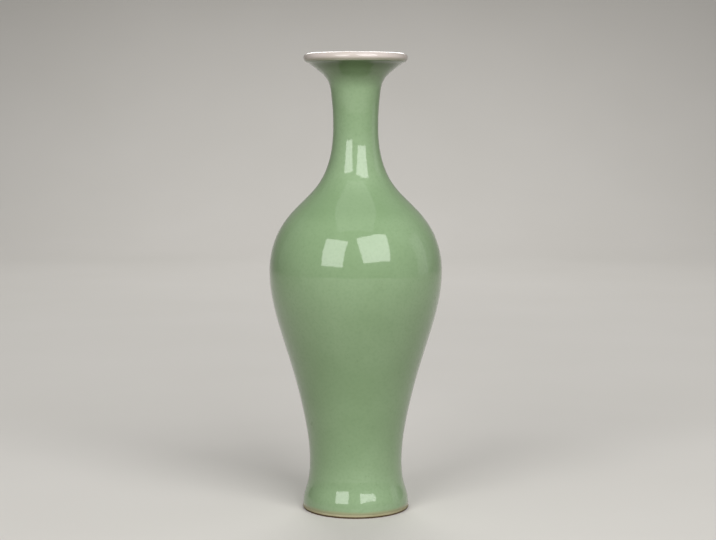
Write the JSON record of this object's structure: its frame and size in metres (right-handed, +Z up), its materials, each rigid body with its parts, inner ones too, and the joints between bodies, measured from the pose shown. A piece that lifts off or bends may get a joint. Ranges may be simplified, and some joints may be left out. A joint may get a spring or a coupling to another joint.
{
  "type": "baluster vase",
  "caption": "Tall celadon baluster vase with a saucer mouth, slim neck, round shoulder and flared foot.",
  "frame": {"origin": "centre of the foot ring's underside, on the surface that the vase stands on", "axes": "+Z up along the vase's axis"},
  "size_m": [0.1514, 0.1514, 0.4],
  "materials": {
    "porcelain": "matte",
    "luting_slip": "matte",
    "celadon_glaze": "gloss",
    "white_glaze": "gloss",
    "iron_wash": "matte"
  },
  "bodies": {
    "root": {"foot_section": "porcelain", "lower_body_section": "porcelain", "shoulder_section": "porcelain", "neck_section": "porcelain", "shank_slip_joint": "luting_slip", "belly_slip_joint": "luting_slip", "neck_slip_joint": "luting_slip", "celadon_glaze": "celadon_glaze", "lip_glaze": "white_glaze", "interior_glaze": "white_glaze", "base_glaze": "white_glaze", "foot_ring_wash": "iron_wash"}
  },
  "joints": []
}
